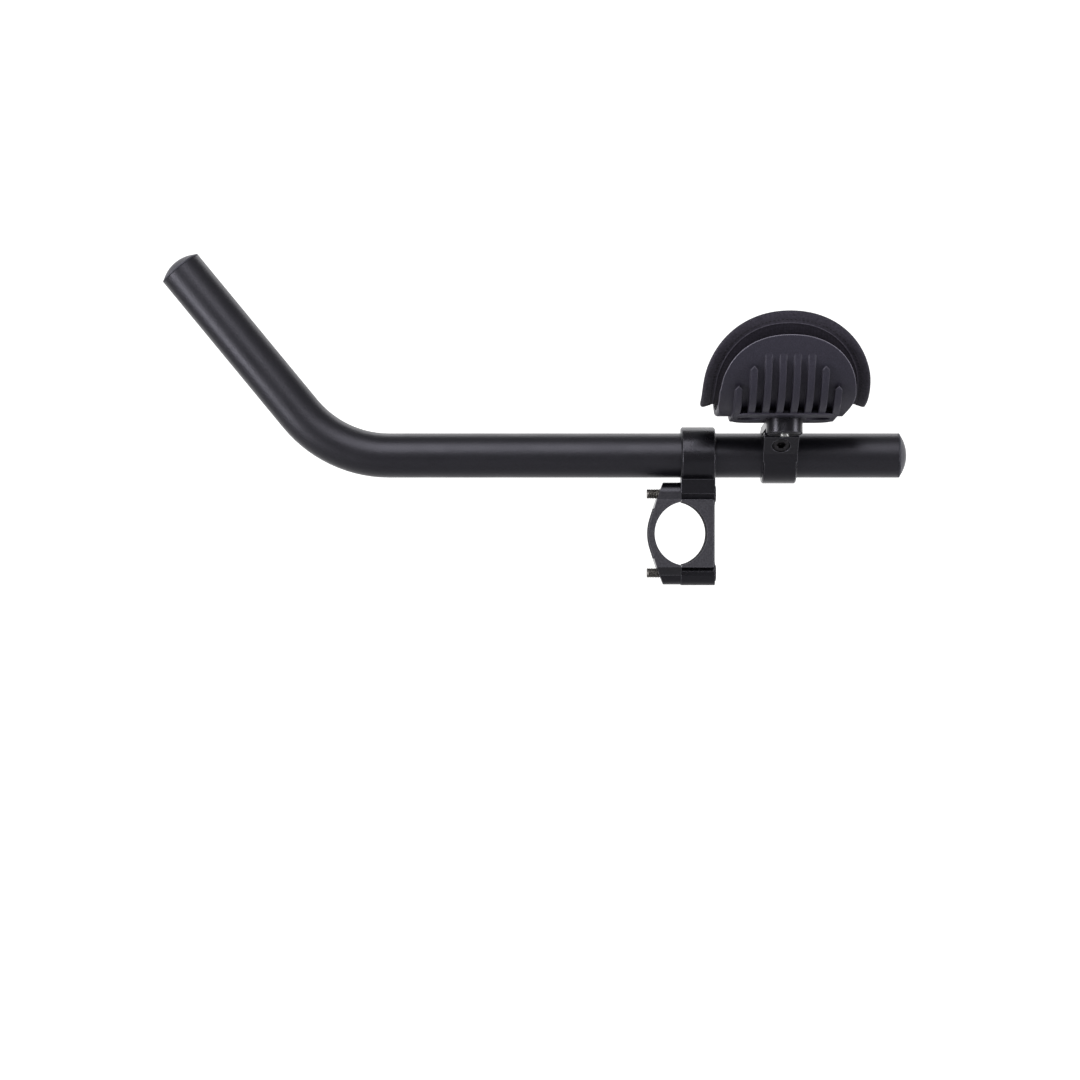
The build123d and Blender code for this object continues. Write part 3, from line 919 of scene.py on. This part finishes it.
def swell(piece, frames, cap, band_cap):
    """Blows a cover up and caps how far its points move, those of the bound edge by themselves."""
    start = [vertex.co.copy() for vertex in piece.data.vertices]
    cloth = piece.modifiers.new("swell", "CLOTH")
    cloth.settings.quality = 8
    cloth.settings.mass = 0.2
    cloth.settings.tension_stiffness = 12
    cloth.settings.compression_stiffness = 12
    cloth.settings.shear_stiffness = 4
    cloth.settings.bending_stiffness = 0.3
    cloth.settings.use_pressure = True
    cloth.settings.uniform_pressure_force = 4.0
    cloth.settings.vertex_group_mass = "held"
    cloth.settings.effector_weights.gravity = 0.0
    cloth.point_cache.frame_start = 1
    cloth.point_cache.frame_end = frames
    for number in range(1, frames + 1):
        scene.frame_set(number)
    swollen = piece.evaluated_get(bpy.context.evaluated_depsgraph_get()).to_mesh()
    ends = [vertex.co.copy() for vertex in swollen.vertices]
    piece.modifiers.remove(cloth)
    scene.frame_set(1)
    furthest = 0.0
    for vertex, first, last in zip(piece.data.vertices, start, ends):
        move = last - first
        limit = band_cap if vertex.index in band_points else cap
        furthest = max(furthest, move.length)
        vertex.co = first + move * min(1.0, limit / max(move.length, least_move))
    return furthest


furthest = swell(pad, frames=20, cap=0.0026, band_cap=0.0012)
print("the cover swelled by up to", round(furthest, 5), "m before the cap")

# %% [markdown]
# A thin cord is sewn into both seams. A raised ring of the cover could stand for it, but the cord has a
# round section and a finish of its own. So it is a closed curve along the seam's points, and it lies in
# the dip that the seam pulls into the cover. One subdivision then rounds the swollen cover.

# %% Seam cords
cord_radius = 0.0005


def seam_cord(name, points):
    """A round cord along points of the cover."""
    curve = bpy.data.curves.new(name, "CURVE")
    curve.dimensions = "3D"
    curve.bevel_depth = cord_radius
    curve.bevel_resolution = 2
    line = curve.splines.new("NURBS")
    line.points.add(len(points) - 1)
    for target, index in zip(line.points, points):
        target.co = (*pad.data.vertices[index].co, 1.0)
    line.use_cyclic_u = True
    line.order_u = 3
    guide = bpy.data.objects.new(name + "_line", curve)
    mesh = bpy.data.meshes.new_from_object(guide)
    bpy.data.objects.remove(guide)
    mesh.materials.append(seam_piping)
    piece = bpy.data.objects.new(name, mesh)
    scene.collection.objects.link(piece)
    return piece


cords = [seam_cord("pad_seam_" + face, points) for face, points in seam_points.items()]
for piece in cords:
    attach(piece, "armrest")
    for polygon in piece.data.polygons:
        polygon.use_smooth = True
print("seams", [piece.name for piece in cords])

# %% The finished pad
smooth = pad.modifiers.new("round", "SUBSURF")
smooth.levels = 1
smooth.render_levels = 1
rounded_mesh = bpy.data.meshes.new_from_object(pad.evaluated_get(bpy.context.evaluated_depsgraph_get()))
pad.modifiers.remove(smooth)
pad.data = rounded_mesh
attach(pad, "armrest")
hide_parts("arm_pad")
print(pad.name, len(pad.data.polygons), "faces")

# %% [markdown]
# ### Stitches
# The binding is sewn down with a row of short stitches just outside the seam. A pattern in the material
# could draw them, but real ones stand proud of the cloth, so they are a mesh. Each stitch is a small long
# bead that lies on the swollen cover, and the nearest point and the normal of the finished pad place it.

# %% Stitches
stitch_inset = 0.0051
stitch_pitch = 0.0022
stitch_half = Vector((0.00062, 0.00022, 0.00018))
bead_sides = 8
bead_rows = 6

bead_points = [Vector((0, 0, 1)), Vector((0, 0, -1))]
bead_faces = []
for row in range(1, bead_rows):
    lean = pi * row / bead_rows
    for order in range(bead_sides):
        turn = 2 * pi * order / bead_sides
        bead_points.append(Vector((sin(lean) * cos(turn), sin(lean) * sin(turn), cos(lean))))
ring_starts = range(2, len(bead_points), bead_sides)
for order in range(bead_sides):
    after = (order + 1) % bead_sides
    bead_faces.append((0, ring_starts[0] + order, ring_starts[0] + after))
    bead_faces.append((1, ring_starts[-1] + after, ring_starts[-1] + order))
    for upper, lower in zip(ring_starts, ring_starts[1:]):
        bead_faces.append((upper + order, lower + order, lower + after, upper + after))


def sew(name, depth):
    """A row of beads round one face of the pad."""
    count = round(travel[-1] / stitch_pitch)
    half_step = 0.5 / count
    points = []
    faces = []
    for order in range(count):
        share = order / count
        spot = wrapped(inset_point(share, stitch_inset), depth)
        ahead = wrapped(inset_point(share + half_step, stitch_inset), depth)
        _, place, normal, _ = pad.closest_point_on_mesh(spot)
        along = (ahead - spot).normalized()
        side = normal.cross(along).normalized()
        axes = Matrix((along * stitch_half.x, side * stitch_half.y, normal * stitch_half.z)).transposed()
        faces += [[len(points) + corner for corner in face] for face in bead_faces]
        points += [place + axes @ point for point in bead_points]
    mesh = bpy.data.meshes.new(name)
    mesh.from_pydata(points, [], faces)
    mesh.materials.append(stitch_thread)
    mesh.shade_smooth()
    piece = bpy.data.objects.new(name, mesh)
    scene.collection.objects.link(piece)
    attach(piece, "armrest")
    print(name, count, "stitches")


sew("pad_stitches_back", 0.0)
sew("pad_stitches_front", pad_thickness)

# %% [markdown]
# ## Screws
# The CAD screws are plain. Real ones have a thread, and the tips of the clamp screws show it beside the
# cap. A thread is a helix. The Screw modifier could sweep one, but not together with the head and its
# socket. So the screw is one turned shape whose radius goes up and down once a pitch along its length,
# and that pattern moves on by one pitch each turn. Its place and axis are measured on the CAD screw.

# %% Measure a CAD screw
head_share = 0.95


def measure_screw(name):
    """The middle of the head's face, the direction to the tip, the length, the head's height and radius."""
    points = np.array([vertex.co for vertex in nodes[name].data.vertices])
    middle = points.mean(axis=0)
    axis = np.linalg.svd(points - middle)[2][0]
    along = (points - middle) @ axis
    offset = np.linalg.norm(points - middle - np.outer(along, axis), axis=1)
    on_head = offset > offset.max() * head_share
    if along[on_head].mean() > 0:
        axis, along = -axis, -along
    head = along[on_head]
    start = Vector(middle + axis * along.min())
    return start, Vector(axis), np.ptp(along), head.max() - along.min(), offset.max()


for name in ("upper_clamp_screw", "cup_screw"):
    *_, length, head_height, head_radius = measure_screw(name)
    print(name, round(length, 4), "long, head", round(head_height, 4), "by", round(head_radius, 4))


# %% Turn a screw
screw_radius = 0.0025
thread_pitch = 0.0008
thread_depth = 0.0004
thread_rows = 6
socket_flat = 0.002
socket_depth = 0.0022
socket_break = 0.0002
head_break = 0.0004
tip_break = 0.0004


def hexagon_reach(angle):
    """How far a hexagon reaches in a direction, from its middle."""
    return socket_flat / cos((angle % (pi / 3)) - pi / 6)


def screw_rows(length, head_height, head_radius, threaded):
    """Each row of the screw: its height from the head's face and its radius at an angle."""
    rows = [(socket_depth, hexagon_reach), (socket_break, hexagon_reach)]
    rows.append((0.0, lambda angle: hexagon_reach(angle) + socket_break))
    rows.append((0.0, lambda angle: head_radius - head_break))
    rows.append((head_break, lambda angle: head_radius))
    rows.append((head_height, lambda angle: head_radius))
    rows.append((head_height, lambda angle: screw_radius))
    steps = int(threaded / thread_pitch * thread_rows)
    for step in range(steps + 1):
        height = length - threaded + (threaded - tip_break) * step / steps

        def thread(angle, height=height):
            turn = height / thread_pitch - angle / (2 * pi)
            groove = 0.5 - 0.5 * cos(2 * pi * (turn - floor(turn)))
            fade = min(1.0, (length - height) / thread_pitch, (height - length + threaded) / thread_pitch)
            return screw_radius - thread_depth * groove * max(0.0, fade)

        rows.append((height, thread))
    rows.append((length, lambda angle: screw_radius - thread_depth))
    return rows


# %% Build the screws
round_points = 36
shank_row = 6
sharp_angle = radians(35)


def threaded_screw(node, body, materials, threaded):
    """A screw with a thread over its last stretch, in the place of a plain one."""
    start, axis, length, head_height, head_radius = measure_screw(node)
    place = Matrix.Translation(start) @ axis.to_track_quat("Z", "Y").to_matrix().to_4x4()
    shape = bmesh.new()
    rings = []
    for height, reach in screw_rows(length, head_height, head_radius, threaded):
        ring = []
        for order in range(round_points):
            angle = 2 * pi * order / round_points
            ring.append(shape.verts.new((reach(angle) * cos(angle), reach(angle) * sin(angle), height)))
        rings.append(ring)
    for number, (near, far) in enumerate(zip(rings, rings[1:])):
        for order in range(round_points):
            after = (order + 1) % round_points
            quad = shape.faces.new((near[order], near[after], far[after], far[order]))
            quad.material_index = 1 if number >= shank_row else 0
    shape.faces.new(rings[0])
    shape.faces.new(rings[-1]).material_index = 1
    bmesh.ops.recalc_face_normals(shape, faces=shape.faces)
    mesh = bpy.data.meshes.new(node + "_threaded")
    shape.to_mesh(mesh)
    shape.free()
    mesh.transform(place)
    for material in materials:
        mesh.materials.append(material)
    mesh.shade_smooth()
    mesh.set_sharp_from_angle(angle=sharp_angle)
    piece = bpy.data.objects.new(node + "_threaded", mesh)
    scene.collection.objects.link(piece)
    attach(piece, body)
    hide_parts(node)
    print(piece.name, len(mesh.polygons), "faces")


worn_black = (black_steel, worn_thread)
all_bright = (bright_steel, bright_steel)
for node in ("upper_clamp_screw", "lower_clamp_screw"):
    threaded_screw(node, "bracket", worn_black, threaded=0.016)
threaded_screw("ring_pinch_screw", "bracket", worn_black, threaded=0.009)
threaded_screw("armrest_pinch_screw", "strap", worn_black, threaded=0.006)
threaded_screw("cup_screw", "armrest", all_bright, threaded=0.009)
